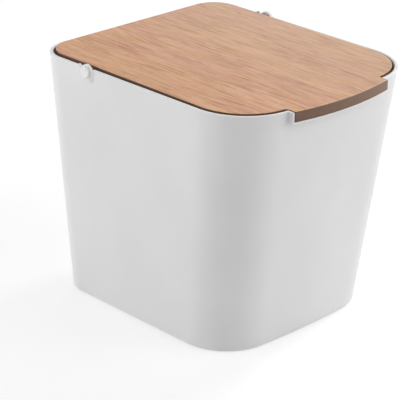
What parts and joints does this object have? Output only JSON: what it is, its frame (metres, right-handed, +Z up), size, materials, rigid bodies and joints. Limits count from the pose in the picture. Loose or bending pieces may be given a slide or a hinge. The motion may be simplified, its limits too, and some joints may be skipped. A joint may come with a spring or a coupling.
{
  "type": "push top countertop bin",
  "caption": "Tapered countertop bin whose wood-faced board lid tilts on side pins when its back is pressed, and lifts off.",
  "frame": {"origin": "on the standing plane, under the middle of the bin's bounding box", "axes": "+Z up, -Y towards the front lip where the lid's tab rests, +X to the right seen from the front"},
  "size_m": [0.1854, 0.2166, 0.1874],
  "materials": {
    "white_plastic": "fine satin moulded polypropylene, white",
    "pin_plastic": "smooth moulded acetal, white",
    "pad_rubber": "matt grey silicone rubber",
    "dark_fibreboard": "sealed dark brown fibreboard edge",
    "oak_veneer": "light oak veneer, matt lacquer, grain front to back",
    "backing_sheet": "plain melamine paper, light wood tone"
  },
  "bodies": {
    "bin": {"bin_shell": "white_plastic", "foot_front_left": "pad_rubber", "foot_front_right": "pad_rubber", "foot_back_left": "pad_rubber", "foot_back_right": "pad_rubber"},
    "hinge_pins": {"hinge_pin_left": "pin_plastic", "hinge_pin_right": "pin_plastic"},
    "lid": {"lid_board": "dark_fibreboard", "lid_veneer": "oak_veneer", "lid_backing": "backing_sheet"}
  },
  "joints": [
    {"name": "lid_lift", "type": "slide", "parent": "bin", "child": "hinge_pins", "axis": [0, 0, 1], "range_m": [0, 0.06]},
    {"name": "lid_tilt", "type": "hinge", "parent": "hinge_pins", "child": "lid", "pos_m": [0, 0.053, 0.1823], "axis": [-1, 0, 0], "range_deg": [0, 56]}
  ]
}
